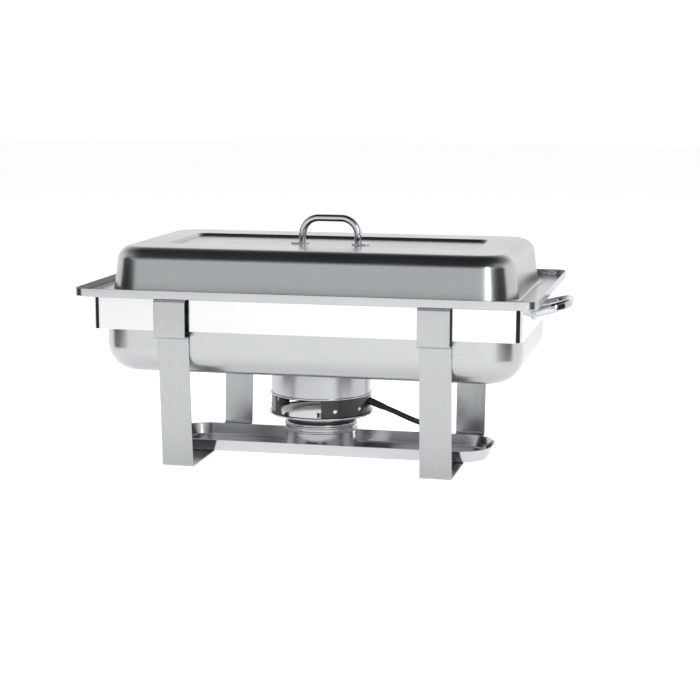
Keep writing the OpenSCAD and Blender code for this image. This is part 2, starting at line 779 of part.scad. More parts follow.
// Inner end of the lead, from the strain relief to the terminal block
module cord_tail() {
    back = [-cos(cord_drop), 0, sin(cord_drop)];
    from = cord_route[0] + gland_whole * back;
    color("black") tube([from, from + 4 * back,
        [block_x + block[0], 0, from[2] + 5 * sin(cord_drop)]], cord_r, 10);
}

// Rubber strain relief through the cage wall, tapering along the lead
module cable_gland() {
    neck = gland_l - 2;
    flange = gland_whole - gland_flange_t;
    color("black") translate(cord_route[0]) rotate([0, cord_drop - 90, 0]) rotate_extrude()
        polygon([[0, 0], [cord_r + 0.3, 0], [gland_r, neck], [gland_r, flange],
            [gland_flange_r, flange], [gland_flange_r, gland_whole], [0, gland_whole]]);
}

module cord_run() { color("black") tube(cord_route, cord_r, 10); }

module cord_end() { color("black") tube(tail_route, cord_r, 10); }

// Outer shape of the coiled lead
module cord_coil() {
    color("black") translate([coil_x, coil_y, lift]) rotate_extrude()
        translate([coil_mid - cord_d, 0]) square([2 * cord_d, coil_h]);
}

// Band around the turns of the coil, on its left side
module cord_tie() {
    room = 0.7;
    color("dimgray") translate([coil_x - coil_mid, coil_y, lift + coil_h / 2])
        rotate([90, 0, 0]) linear_extrude(tie_w, center = true) difference() {
            square([2 * (cord_d + room + lift), coil_h + 2 * lift], center = true);
            square([2 * (cord_d + room), coil_h], center = true);
        }
}

// Moulded plug lying on the table, its face towards -X
module plug_body() {
    start = tail_route[len(tail_route) - 1];
    color("black") translate(start) rotate([0, -90, 0]) {
        cylinder(r1 = cord_r + 0.7, r2 = cord_r + 3, h = plug_tail);
        translate([0, 0, plug_tail]) linear_extrude(plug_l) round_rect(plug_h, plug_w, 6);
    }
}

module plug_pins() {
    start = tail_route[len(tail_route) - 1];
    color("silver") translate([start[0] - plug_tail - plug_l, start[1], start[2]]) {
        for (s = [-1, 1]) translate([-blade[0], s * blade_gap / 2 - blade[1] / 2, 0])
            cube(blade);
        translate([0, 0, -earth_pin_down]) rotate([0, -90, 0])
            cylinder(r = earth_pin_r, h = blade[0] + 2);
    }
}

frame_band();
leg_left();
leg_right();
burner_tray();
water_pan();
water_pan_edge();
food_pan();
food_pan_rim();
lid_shell();
lid_handle();
lid_handle_screws();
lid_handle_washers();
end_handle_left();
end_handle_right();
end_handle_rivets();
heater_can();
can_spacer();
heater_dish();
column_bolt();
column_nut();
heater_cage();
cage_rivets();
drum_base();
drum_shell();
drum_foot_screws();
hot_plate();
heating_element();
element_bracket();
element_screw();
insulation_disc();
disc_spacers();
thermostat();
thermal_fuse();
terminal_block();
terminal_screws();
earth_screw();
lead_bushing();
internal_leads();
cord_tail();
cable_gland();
cord_run();
cord_coil();
cord_end();
cord_tie();
plug_body();
plug_pins();
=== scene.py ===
import math

import bmesh
import bpy
from mathutils import Matrix, Vector


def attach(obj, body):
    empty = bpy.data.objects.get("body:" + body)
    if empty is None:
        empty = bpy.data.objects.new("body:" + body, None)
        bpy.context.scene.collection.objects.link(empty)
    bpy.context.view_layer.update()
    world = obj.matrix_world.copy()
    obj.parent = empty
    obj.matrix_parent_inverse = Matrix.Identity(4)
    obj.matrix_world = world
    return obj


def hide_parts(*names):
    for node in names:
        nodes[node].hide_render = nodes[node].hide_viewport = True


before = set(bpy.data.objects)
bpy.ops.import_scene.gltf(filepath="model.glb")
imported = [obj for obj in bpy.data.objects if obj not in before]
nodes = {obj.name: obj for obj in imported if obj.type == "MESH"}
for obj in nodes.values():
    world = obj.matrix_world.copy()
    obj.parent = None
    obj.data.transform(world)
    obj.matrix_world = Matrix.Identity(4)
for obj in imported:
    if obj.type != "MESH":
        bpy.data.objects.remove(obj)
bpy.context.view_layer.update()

# ---------------------------------------------------------------------------------------------
# Camera. It stands in front of the server, a little to the right and above it.
# ---------------------------------------------------------------------------------------------
eye = (0.53023, -2.28023, 0.50796)
yaw = math.radians(12.82)
pitch = math.radians(10.46)
roll = math.radians(0.12)

camera = bpy.data.objects.new("camera", bpy.data.cameras.new("camera"))
camera.data.sensor_width = 36
camera.data.lens = 92.774057
camera.data.shift_x = 0.0162
camera.data.shift_y = 0.0623
camera.data.clip_end = 60
camera.matrix_world = (Matrix.Translation(eye)
                       @ Matrix.Rotation(yaw, 4, "Z")
                       @ Matrix.Rotation(math.pi / 2 - pitch, 4, "X")
                       @ Matrix.Rotation(roll, 4, "Z"))
bpy.context.scene.collection.objects.link(camera)
bpy.context.scene.camera = camera

# ---------------------------------------------------------------------------------------------
# Mains lead. Round black PVC over three cores, 7 mm thick. It leaves the cage of the heating
# unit on the right, drops behind the tray and lies on the table in a neat coil.
# ---------------------------------------------------------------------------------------------
mm = 0.001
lead_d = 7 * mm
lead_route = [
    (74, 0, 60.5), (86, 0, 56), (98, 0, 51), (110, 1, 46), (120, 4, 42), (129, 10, 38.5),
    (135, 19, 35), (138, 30, 32), (138, 41, 29), (135, 52, 25.5), (129, 61, 20.5), (122, 68, 14.5),
    (114, 73, 9), (105, 77, 5.5), (94, 79, 4), (80, 79, 3.6), (66, 79, 3.6), (52, 79, 3.6),
    (38, 79, 3.8), (28, 80, 4), (18, 84, 4.2), (10, 90, 4.4), (4, 98, 4.6), (0, 108, 4.7)]
tail_route = [
    (-1, 128, 18.2), (-1, 138, 15.5), (-1.5, 148, 12), (-3, 158, 8.5), (-6, 167, 6.5),
    (-11, 176, 6), (-18, 184, 7), (-27, 190, 9), (-38, 193, 11)]

# The coil's places, as radius and height: outer and inner of the bottom layer, inner and outer
# of the middle one, outer of the top one. A turn changes places over a fifth of its way round,
# and an upper turn does it before the one below it, so that no two turns touch.
coil_at = (-40, 118)
first_change, change_apart, change_takes = 20, 82, 72
coil_places = [(39, 4.7), (32, 4.7), (32, 11.7), (39, 11.7), (39, 18.7)]
coil_turns = len(coil_places) - 1
steps_a_turn = 30
coil_route = []
for step in range(coil_turns * steps_a_turn + 1):
    turn, angle = divmod(step * 360 / steps_a_turn, 360)
    turn = int(turn)
    if turn == coil_turns:
        radius, height = coil_places[-1]
    else:
        start = first_change + change_apart * (coil_turns - 1 - turn)
        done = min(max((angle - start) / change_takes, 0), 1)
        done = done * done * (3 - 2 * done)
        here, there = coil_places[turn], coil_places[turn + 1]
        radius = here[0] + (there[0] - here[0]) * done
        height = here[1] + (there[1] - here[1]) * done
    turned = math.radians(angle)
    coil_route.append((coil_at[0] + radius * math.cos(turned),
                       coil_at[1] + radius * math.sin(turned), height))

lead_line = [Vector(point) * mm for point in lead_route + coil_route + tail_route]


def show(name, data, body, slot, *stands_for):
    """A finished piece: its object at the origin, riding on a body, in place of CAD nodes."""
    piece = bpy.data.objects.new(name, data)
    bpy.context.scene.collection.objects.link(piece)
    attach(piece, body)
    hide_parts(*stands_for)
    return piece


# The curve is round with a radius of 1 m times each point's own radius
lead_curve = bpy.data.curves.new("mains_lead", "CURVE")
lead_curve.dimensions = "3D"
lead_curve.bevel_depth = 1
lead_curve.bevel_resolution = 5
lead_curve.use_fill_caps = True
lead_curve.resolution_u = 4
lead_spline = lead_curve.splines.new("BEZIER")
lead_spline.bezier_points.add(len(lead_line) - 1)
for knot, place in zip(lead_spline.bezier_points, lead_line):
    knot.co = place
    knot.radius = lead_d / 2
    knot.handle_left_type = "AUTO"
    knot.handle_right_type = "AUTO"
mains_lead = show("mains_lead", lead_curve, "stand", "black_rubber",
                  "cord_run", "cord_coil", "cord_end")


def linear(code):
    """An sRGB hex colour as linear red, green, blue and alpha."""
    parts = [int(code[i:i + 2], 16) / 255 for i in (1, 3, 5)]
    return [c / 12.92 if c <= 0.04045 else ((c + 0.055) / 1.055) ** 2.4 for c in parts] + [1]


def add(tree, kind, inputs=None, **settings):
    """A node with its settings, and its inputs given as a value or as the socket to link."""
    made = tree.nodes.new(kind)
    for name, value in settings.items():
        setattr(made, name, value)
    for name, value in (inputs or {}).items():
        if isinstance(value, bpy.types.NodeSocket):
            tree.links.new(value, made.inputs[name])
        else:
            made.inputs[name].default_value = value
    return made


def start_material(name):
    """An empty material with its output and its Object coordinates."""
    made = bpy.data.materials.new(name)
    made.use_nodes = True
    made.node_tree.nodes.clear()
    coordinates = made.node_tree.nodes.new("ShaderNodeTexCoord").outputs["Object"]
    return made, made.node_tree, coordinates


def end_material(tree, shader):
    """Links the shader to the material's output."""
    add(tree, "ShaderNodeOutputMaterial", {"Surface": shader.outputs[0]})


def spread(tree, factor, low, high, start=0.0, end=1.0):
    """A factor from start to end turned into a number from low to high."""
    return add(tree, "ShaderNodeMapRange", {"Value": factor, "From Min": start, "From Max": end,
                                            "To Min": low, "To Max": high}).outputs[0]


# Plasticised PVC, extruded: a soft satin black with a very fine ripple along the lead
black_pvc, tree, at = start_material("black_pvc_extruded")
ripple = add(tree, "ShaderNodeTexNoise", {"Vector": at, "Scale": 900.0, "Detail": 3.0})
bump = add(tree, "ShaderNodeBump", {"Height": ripple.outputs[0], "Strength": 0.12,
                                    "Distance": 0.0002})
shader = add(tree, "ShaderNodeBsdfPrincipled", {
    "Base Color": linear("#121314"), "Roughness": spread(tree, ripple.outputs[0], 0.36, 0.52),
    "Normal": bump.outputs[0]})
end_material(tree, shader)
lead_curve.materials.append(black_pvc)


def turned_shape(outline, axis=Matrix.Identity(4), around=96):
    """A lathe-turned shape: an outline of (radius, height) points in mm, spun round an axis."""
    made = bmesh.new()
    last = made.verts.new((outline[0][0] * mm, 0, outline[0][1] * mm))
    for radius, height in outline[1:]:
        grown = bmesh.ops.extrude_vert_indiv(made, verts=[last])
        last = grown["verts"][0]
        last.co = (radius * mm, 0, height * mm)
    bmesh.ops.spin(made, geom=made.verts[:] + made.edges[:], axis=(0, 0, 1), cent=(0, 0, 0),
                   steps=around, angle=2 * math.pi, use_merge=True)
    bmesh.ops.remove_doubles(made, verts=made.verts[:], dist=1e-6)
    bmesh.ops.recalc_face_normals(made, faces=made.faces[:])
    made.transform(axis)
    return made


def rounded(outline, closed=False, sides=4):
    """An outline whose points may carry a third number, the radius of that corner."""
    out = []
    count = len(outline)
    for i, point in enumerate(outline):
        radius = point[2] if len(point) > 2 else 0
        if radius == 0 or (not closed and i in (0, count - 1)):
            out.append((point[0], point[1]))
            continue
        here = Vector(point[:2])
        back = Vector(outline[i - 1][:2]) - here
        on = Vector(outline[(i + 1) % count][:2]) - here
        half = back.angle(on) / 2
        middle = here + (back.normalized() + on.normalized()).normalized() * radius / math.sin(half)
        first = here + back.normalized() * radius / math.tan(half) - middle
        last = here + on.normalized() * radius / math.tan(half) - middle
        for k in range(sides + 1):
            spoke = first.lerp(last, k / sides).normalized() * radius
            out.append(tuple(middle + spoke))
    return out


def finish_mesh(made, name, material, crease=35):
    """A bmesh as named mesh data with its material, smooth apart from its sharp edges."""
    for face in made.faces:
        face.smooth = True
    for edge in made.edges:
        if len(edge.link_faces) == 2:
            edge.smooth = edge.calc_face_angle(0) < math.radians(crease)
    data = bpy.data.meshes.new(name)
    made.to_mesh(data)
    made.free()
    data.materials.append(material)
    return data


# Strain relief: moulded rubber with ribs, clipped through the cage and tapering along the lead
relief_drop = math.radians(21)
rib_pitch = 3
relief_out = [(3.55, 0, 0), (3.8, 0, 0.3), (4.0, 3)]
for rib in range(5):
    z = 4 + rib * rib_pitch
    relief_out += [(4.05 + 0.1 * rib, z), (4.5 + 0.1 * rib, z + 0.6), (4.5 + 0.1 * rib, z + 1.6),
                   (4.1 + 0.1 * rib, z + 2.2)]
relief_out += [(4.8, 20), (4.8, 25.8), (6.5, 25.8, 0.3), (6.5, 27.6, 0.3), (3.55, 27.6), (3.55, 0)]
relief_axis = (Matrix.Translation(Vector(lead_route[0]) * mm)
               @ Matrix.Rotation(relief_drop - math.pi / 2, 4, "Y"))
relief_mesh = finish_mesh(turned_shape(rounded(relief_out), relief_axis, 40), "strain_relief",
                          black_pvc)
show("strain_relief", relief_mesh, "stand", "black_rubber", "cable_gland")


def join(made, other, matrix=Matrix.Identity(4)):
    """Puts another bmesh into this one, moved by a matrix."""
    other.transform(matrix)
    carried = bpy.data.meshes.new("carried")
    other.to_mesh(carried)
    other.free()
    made.from_mesh(carried)
    bpy.data.meshes.remove(carried)


# Plug: moulded PVC over its three pins, with a ribbed neck
plug_start = Vector(tail_route[-1]) * mm
plug_l, plug_w, plug_h, neck_l = 24, 26, 22, 14
plug_body = bmesh.new()
bmesh.ops.create_cube(plug_body, size=1,
                      matrix=Matrix.Diagonal((plug_l * mm, plug_w * mm, plug_h * mm, 1)))
lead_side = [face for face in plug_body.faces if face.normal.x > 0.5][0]
bmesh.ops.scale(plug_body, vec=(1, 0.72, 0.72), verts=lead_side.verts[:])
bmesh.ops.bevel(plug_body, geom=plug_body.edges[:], offset=5 * mm, offset_type="OFFSET", segments=5,
                affect="EDGES", profile=0.5, material=-1, clamp_overlap=True)
plug_body.transform(Matrix.Translation(plug_start + Vector((-(neck_l + plug_l / 2) * mm, 0, 0))))
neck = [(3.55, 0), (4.3, 0.4)]
for rib in range(4):
    z = 1 + rib * rib_pitch
    neck += [(4.4 + 0.5 * rib, z), (5.0 + 0.5 * rib, z + 0.5), (5.0 + 0.5 * rib, z + 1.7),
             (4.4 + 0.5 * rib, z + 2.2)]
neck += [(6.6, neck_l), (6.6, neck_l + 3), (3.55, neck_l + 3), (3.55, 0)]
join(plug_body, turned_shape(neck, around=36),
     Matrix.Translation(plug_start) @ Matrix.Rotation(-math.pi / 2, 4, "Y"))
moulded_plug = show("moulded_plug", finish_mesh(plug_body, "moulded_plug", black_pvc), "stand",
                    "black_rubber", "plug_body")


def round_outline(made, length, width, corner, height=0.0, sides=6):
    """A flat face in mm with round corners, centred on the Z axis at a height."""
    others = set(made.faces)
    drawn = bmesh.ops.create_grid(
        made, x_segments=1, y_segments=1, size=0.5,
        matrix=Matrix.Translation((0, 0, height * mm))
        @ Matrix.Diagonal((length * mm, width * mm, 1, 1)))
    bmesh.ops.bevel(made, geom=drawn["verts"], offset=corner * mm, offset_type="OFFSET",
                    segments=sides, affect="VERTICES", profile=0.5, material=-1)
    return [face for face in made.faces if face not in others][0]


def kind(geometry, wanted):
    """The vertices, edges or faces among what an operator gives back."""
    return [part for part in geometry if isinstance(part, wanted)]


def hoop(length, width, corner, low, high, sides=6):
    """A strip standing on edge round a rectangle with round corners, in mm."""
    made = bmesh.new()
    face = round_outline(made, length, width, corner, low, sides)
    edges = face.edges[:]
    bmesh.ops.delete(made, geom=[face], context="FACES_ONLY")
    grown = bmesh.ops.extrude_edge_only(made, edges=edges)
    bmesh.ops.translate(made, vec=(0, 0, (high - low) * mm),
                        verts=kind(grown["geom"], bmesh.types.BMVert))
    bmesh.ops.recalc_face_normals(made, faces=made.faces[:])
    return made


# Tie: a strip of woven nylon tape round the coil
tie_round_w, tie_round_h, tie_w = 16.4, 23, 10
tie = hoop(tie_round_w, tie_round_h, 4, 0, tie_w)
tie.transform(Matrix.Translation(((coil_at[0] - 35.5) * mm, (coil_at[1] + 5) * mm, 11.7 * mm))
              @ Matrix.Rotation(math.pi / 2, 4, "X"))

# Woven nylon: a matt charcoal tape whose fine weave shows as rows of small bumps
woven_nylon, tree, at = start_material("woven_nylon_tape")
weave = add(tree, "ShaderNodeTexWave", {"Vector": at, "Scale": 300.0, "Distortion": 1.5,
                                        "Detail": 2.0}, bands_direction="Z")
bump = add(tree, "ShaderNodeBump", {"Height": weave.outputs["Fac"], "Strength": 0.5,
                                    "Distance": 0.0003})
shader = add(tree, "ShaderNodeBsdfPrincipled", {
    "Base Color": linear("#232427"), "Roughness": 0.85, "Normal": bump.outputs[0]})
end_material(tree, shader)
lead_tie = show("lead_tie", finish_mesh(tie, "lead_tie", woven_nylon), "stand", "black_strap",
                "cord_tie")


def wall(piece, thickness, edge, offset=-1):
    """Gives a sheet its thickness and rounds its cut edges, both in mm."""
    sheet = piece.modifiers.new("sheet", "SOLIDIFY")
    sheet.thickness = thickness * mm
    sheet.offset = offset
    sheet.use_even_offset = True
    soften(piece, edge)


def soften(piece, edge, sides=3):
    """Rounds the edges of a piece that are sharper than 50 degrees, by a radius in mm."""
    rounding = piece.modifiers.new("edges", "BEVEL")
    rounding.width = edge * mm
    rounding.segments = sides
    rounding.limit_method = "ANGLE"
    rounding.angle_limit = math.radians(50)
    rounding.harden_normals = True
    flatten = piece.modifiers.new("flats", "WEIGHTED_NORMAL")
    flatten.keep_sharp = True


wall(lead_tie, 1.1, 0.3)

# ---------------------------------------------------------------------------------------------
# Studio: a pale floor that runs far back, a bright room that darkens overhead and in front,
# four soft boxes, and two dark cards that only the metal shows.
# ---------------------------------------------------------------------------------------------
floor = bmesh.new()
bmesh.ops.create_grid(floor, x_segments=1, y_segments=1, size=9)
floor_paper, tree, at = start_material("studio_paper_matt")
grain = add(tree, "ShaderNodeTexNoise", {"Vector": at, "Scale": 60.0, "Detail": 2.0})
shader = add(tree, "ShaderNodeBsdfPrincipled", {
    "Base Color": linear("#f4f4f4"), "Roughness": spread(tree, grain.outputs[0], 0.8, 0.9),
    "Emission Color": linear("#ffffff"), "Emission Strength": 0.7})
end_material(tree, shader)
floor_piece = bpy.data.objects.new("studio_floor", finish_mesh(floor, "studio_floor", floor_paper))
bpy.context.scene.collection.objects.link(floor_piece)

sky = bpy.data.worlds.new("studio_sky")
bpy.context.scene.world = sky
sky.use_nodes = True
sky.node_tree.nodes.clear()
tree = sky.node_tree
looking = add(tree, "ShaderNodeTexCoord").outputs["Generated"]
split = add(tree, "ShaderNodeSeparateXYZ", {"Vector": looking})


def ramp(tree, factor, stops):
    """A colour ramp through (place, sRGB colour) stops, giving its colour socket."""
    made = add(tree, "ShaderNodeValToRGB", {"Fac": factor})
    stretch = made.color_ramp.elements
    for (place, code), stop in zip(stops[:2], list(stretch)):
        stop.position, stop.color = place, linear(code)
    for place, code in stops[2:]:
        stretch.new(place).color = linear(code)
    return made.outputs["Color"]


def mixed(tree, factor, first, second, blend="MIX"):
    """Two colours mixed, each an sRGB code or a socket."""
    made = add(tree, "ShaderNodeMix", {"Factor": factor}, data_type="RGBA", blend_type=blend)
    for wanted, colour in (("A_Color", first), ("B_Color", second)):
        socket = [s for s in made.inputs if s.identifier == wanted][0]
        if isinstance(colour, str):
            socket.default_value = linear(colour)
        else:
            tree.links.new(colour, socket)
    return [s for s in made.outputs if s.identifier == "Result_Color"][0]


# In front of the server the studio is grey low down and dark overhead, which gives the lid its
# grey wall and dark upper edge. Grey upright screens at the sides draw streaks in the chrome.
front = ramp(tree, split.outputs["Z"], [
    (0.0, "#eceeee"), (1.0, "#2c2d2f"), (0.1, "#e0e2e2"), (0.26, "#d8dadb"), (0.42, "#7c7e80"),
    (0.6, "#2e2f31")])
behind = ramp(tree, split.outputs["Z"], [
    (0.0, "#ffffff"), (1.0, "#2c2d2f"), (0.3, "#fafafa"), (0.6, "#9c9d9f"), (0.85, "#3a3b3d")])
side_on = add(tree, "ShaderNodeMath", {0: split.outputs["X"], 1: split.outputs["Y"]},
              operation="ARCTAN2")
round_the_room = spread(tree, side_on.outputs[0], 0.0, 1.0, -math.pi, math.pi)
screens = ramp(tree, round_the_room, [
    (0.0, "#ffffff"), (1.0, "#ffffff"), (0.15, "#ffffff"), (0.17, "#85878a"), (0.23, "#85878a"),
    (0.26, "#ffffff"), (0.74, "#ffffff"), (0.76, "#85878a"), (0.83, "#85878a"), (0.85, "#ffffff")])
facing = spread(tree, split.outputs["Y"], 0.0, 1.0, -0.6, -0.25)
room = mixed(tree, facing, front, behind)
low_down = spread(tree, split.outputs["Z"], 1.0, 0.0, 0.35, 0.55)
room = mixed(tree, low_down, room, screens, "MULTIPLY")
backdrop = add(tree, "ShaderNodeBackground", {"Color": room, "Strength": 1.1})
add(tree, "ShaderNodeOutputWorld", {"Surface": backdrop.outputs[0]})
bpy.context.scene.view_settings.view_transform = "Standard"


def soft_box(name, place, towards, size, power, mirrored):
    """A square area light at a place in metres, turned towards a point. If it isn't mirrored,
    metal doesn't show it."""
    lamp = bpy.data.lights.new(name, "AREA")
    lamp.shape = "RECTANGLE"
    lamp.size, lamp.size_y = size
    lamp.energy = power
    box = bpy.data.objects.new(name, lamp)
    aim = (Vector(towards) - Vector(place)).to_track_quat("-Z", "Y")
    box.matrix_world = Matrix.Translation(place) @ aim.to_matrix().to_4x4()
    box.visible_glossy = mirrored
    lamp.specular_factor = 1 if mirrored else 0
    bpy.context.scene.collection.objects.link(box)


card_away, card_forward, card_high, card_long = 0.85, 0.45, 0.4, 0.75


def dark_card(name, side):
    """An upright dark card beside the server that only shows in its reflections."""
    card = bmesh.new()
    bmesh.ops.create_grid(card, x_segments=1, y_segments=1, size=0.5, matrix=(
        Matrix.Translation((side * card_away, -card_forward, card_high / 2))
        @ Matrix.Rotation(-side * math.pi / 2, 4, "Y")
        @ Matrix.Diagonal((card_high, card_long, 1, 1))))
    piece = bpy.data.objects.new(name, finish_mesh(card, name, card_board))
    bpy.context.scene.collection.objects.link(piece)
    piece.visible_camera = piece.visible_shadow = piece.visible_diffuse = False


# Dyed card: matt and near black
card_board, tree, at = start_material("dyed_card_black")
fibre = add(tree, "ShaderNodeTexNoise", {"Vector": at, "Scale": 80.0, "Detail": 2.0})
shader = add(tree, "ShaderNodeBsdfPrincipled", {
    "Base Color": linear("#1c1d1f"), "Roughness": spread(tree, fibre.outputs[0], 0.8, 0.9)})
end_material(tree, shader)
dark_card("card_right", 1)
dark_card("card_left", -1)

soft_box("soft_box_top", (0.0, 0.4, 2.4), (0.0, 0.0, 0.2), (2.6, 1.6), 26, False)
soft_box("soft_box_left", (-2.4, -1.2, 1.0), (0.0, 0.0, 0.2), (0.6, 1.4), 10, False)
soft_box("soft_box_floor", (0.2, -1.9, 0.5), (0.0, 0.0, 0.05), (1.6, 0.5), 8, False)
soft_box("soft_box_right", (1.6, -2.2, 0.9), (0.1, 0.0, 0.2), (0.3, 1.1), 12, True)

# ---------------------------------------------------------------------------------------------
# Pans. 18/10 stainless steel, deep drawn. The water pan's rim is turned up into an upright edge that
# keeps the food pan in place.
# ---------------------------------------------------------------------------------------------


def brushed_metal(name, colour, rough, along, line_mm=1.0, run_mm=110.0, depth=0.05):
    """Metal brushed along X, Y or Z: fine lines run_mm long and line_mm apart."""
    made, tree, at = start_material(name)
    across, run = 1000 / line_mm / 6, 1000 / run_mm / 6
    scale = [run if axis == along else across for axis in "XYZ"]
    stretched = add(tree, "ShaderNodeMapping", {"Vector": at, "Scale": scale})
    lines = add(tree, "ShaderNodeTexNoise", {"Vector": stretched.outputs[0], "Scale": 1.0,
                                             "Detail": 4.0, "Roughness": 0.65})
    cloud = add(tree, "ShaderNodeTexNoise", {"Vector": at, "Scale": 9.0, "Detail": 2.0})
    both = add(tree, "ShaderNodeMath", {0: lines.outputs[0], 1: cloud.outputs[0]}, operation="ADD")
    bump = add(tree, "ShaderNodeBump", {"Height": lines.outputs[0], "Strength": depth,
                                        "Distance": 0.0002})
    shader = add(tree, "ShaderNodeBsdfPrincipled", {
        "Base Color": linear(colour), "Metallic": 1.0, "Normal": bump.outputs[0],
        "Roughness": spread(tree, both.outputs[0], rough - 0.03, rough + 0.03, 0.7, 1.3)})
    end_material(tree, shader)
    return made


# Stainless steel with a directional satin finish: soft reflections drawn out across the grain
satin_steel = brushed_metal("stainless_steel_satin_brushed", "#b9bbbc", 0.25, "X")


def edges_round(face):
    """The edges of a face in order, from the middle of its right-hand side."""
    edges = [loop.edge for loop in face.loops]
    first = max(range(len(edges)), key=lambda place: sum(end.co.x for end in edges[place].verts))
    return edges[first:] + edges[:first]


def pressed_sheet(levels, facing):
    """Sheet drawn through outlines: (half length, half width, corner radius, height, bend), in
    mm. The bend is the distance from the sharp corner to where it starts. The last outline is
    closed by a flat face, and facing is 1 where its outer side looks up and -1 where down."""
    made = bmesh.new()
    rings = []
    for half_x, half_y, corner, height, bend in levels:
        face = round_outline(made, 2 * half_x, 2 * half_y, corner, height, 12)
        rings.append((face, edges_round(face), bend))
    bmesh.ops.delete(made, geom=[ring[0] for ring in rings[:-1]], context="FACES_ONLY")
    for outer, inner in zip(rings, rings[1:]):
        for pair in zip(outer[1], inner[1]):
            bmesh.ops.contextual_create(made, geom=pair)
    bmesh.ops.recalc_face_normals(made, faces=made.faces[:])
    if rings[-1][0].normal.z * facing < 0:
        bmesh.ops.reverse_faces(made, faces=made.faces[:])
    for face, edges, bend in rings:
        if bend:
            bmesh.ops.bevel(made, geom=edges, offset=bend * mm, offset_type="OFFSET",
                            segments=max(3, min(10, int(bend))), affect="EDGES", profile=0.5,
                            material=-1, clamp_overlap=True)
    return made


def bend_reach(radius, turn):
    """Distance from a sharp corner to where a bend of that radius starts, turning by degrees."""
    return radius * math.tan(math.radians(turn) / 2)


pan_slope = math.tan(math.radians(1.5))
pan_bend = bend_reach(34, 90 - 1.5)
rim_bend = 2.4
sheet_t, sheet_edge = 1, 0.3

# Water pan: half lengths and half widths of its rim and its body, and their corners
rim_hx, rim_hy, rim_corner = 290, 176, 15
body_hx, body_hy, body_corner = 268.5, 152, 50
water_z, water_deep, edge_up = 218, 99.5, 10.5
water_lean = water_deep * pan_slope
water_sheet = pressed_sheet([
    (rim_hx, rim_hy, rim_corner, water_z + edge_up, 0),
    (rim_hx, rim_hy, rim_corner, water_z, 1.6),
    (body_hx, body_hy, body_corner, water_z, rim_bend),
    (body_hx - water_lean, body_hy - water_lean, body_corner - water_lean, water_z - water_deep,
     pan_bend)], -1)
water_pan = show("water_pan_drawn", finish_mesh(water_sheet, "water_pan_drawn", satin_steel),
                 "water_pan", "satin_steel", "water_pan", "water_pan_edge")
wall(water_pan, sheet_t, sheet_edge)

# Food pan: it hangs in the water pan by its flat rim
flat_hx, flat_hy, flat_corner = 284.5, 170.5, 12
food_hx, food_hy, food_corner = 256.5, 142.5, 48
food_z, food_deep = 219, 65
food_lean = food_deep * pan_slope
food_sheet = pressed_sheet([
    (flat_hx, flat_hy, flat_corner, food_z, 0),
    (food_hx, food_hy, food_corner, food_z, rim_bend),
    (food_hx - food_lean, food_hy - food_lean, food_corner - food_lean, food_z - food_deep,
     pan_bend)], -1)
food_pan = show("food_pan_drawn", finish_mesh(food_sheet, "food_pan_drawn", satin_steel),
                "food_pan", "satin_steel", "food_pan", "food_pan_rim")
wall(food_pan, sheet_t, sheet_edge)

# ---------------------------------------------------------------------------------------------
# Lid. One sheet of stainless steel, deep drawn into a low dome with a flat edge to stand on and
# a sunk panel along the middle of its top.
# ---------------------------------------------------------------------------------------------
lid_edge = 5
lid_hx, lid_hy, lid_corner = 260, 146, 50
lid_low, lid_top, lid_draft = 221, 277, 8
lid_lean = 57 * math.tan(math.radians(lid_draft))
panel_hx, panel_hy, panel_corner = 198.3, 72.3, 14
panel_z, panel_ramp, panel_bend = 273.5, 2, 1.4
lid_sheet = pressed_sheet([
    (lid_hx + lid_edge, lid_hy + lid_edge, lid_corner + lid_edge, lid_low, 0),
    (lid_hx, lid_hy, lid_corner, lid_low, 1.8),
    (lid_hx - lid_lean, lid_hy - lid_lean, lid_corner - lid_lean, lid_top,
     bend_reach(18, 90 - lid_draft)),
    (panel_hx, panel_hy, panel_corner, lid_top, panel_bend),
    (panel_hx - panel_ramp, panel_hy - panel_ramp, panel_corner - panel_ramp, panel_z,
     panel_bend)], 1)
lid_shell = show("lid_drawn", finish_mesh(lid_sheet, "lid_drawn", satin_steel), "lid",
                 "satin_steel", "lid_shell")
wall(lid_shell, sheet_t, sheet_edge)

# ---------------------------------------------------------------------------------------------
# Handles. Chrome-plated zinc castings: a flattened bar bent into a bow. The lid's stands on two
# small pads, each end handle on two round feet riveted to the band.
# ---------------------------------------------------------------------------------------------

# Bright chrome over polished zinc: a clear mirror, a touch blue, with faint handling marks
chrome, tree, at = start_material("chrome_plate_on_zinc")
marks = add(tree, "ShaderNodeTexNoise", {"Vector": at, "Scale": 130.0, "Detail": 3.0})
bump = add(tree, "ShaderNodeBump", {"Height": marks.outputs[0], "Strength": 0.03,
                                    "Distance": 0.0003})
shader = add(tree, "ShaderNodeBsdfPrincipled", {
    "Base Color": linear("#c3c6c9"), "Metallic": 1.0, "Normal": bump.outputs[0],
    "Roughness": spread(tree, marks.outputs[0], 0.05, 0.12, 0.35, 0.65)})
end_material(tree, shader)


grip_span = 74


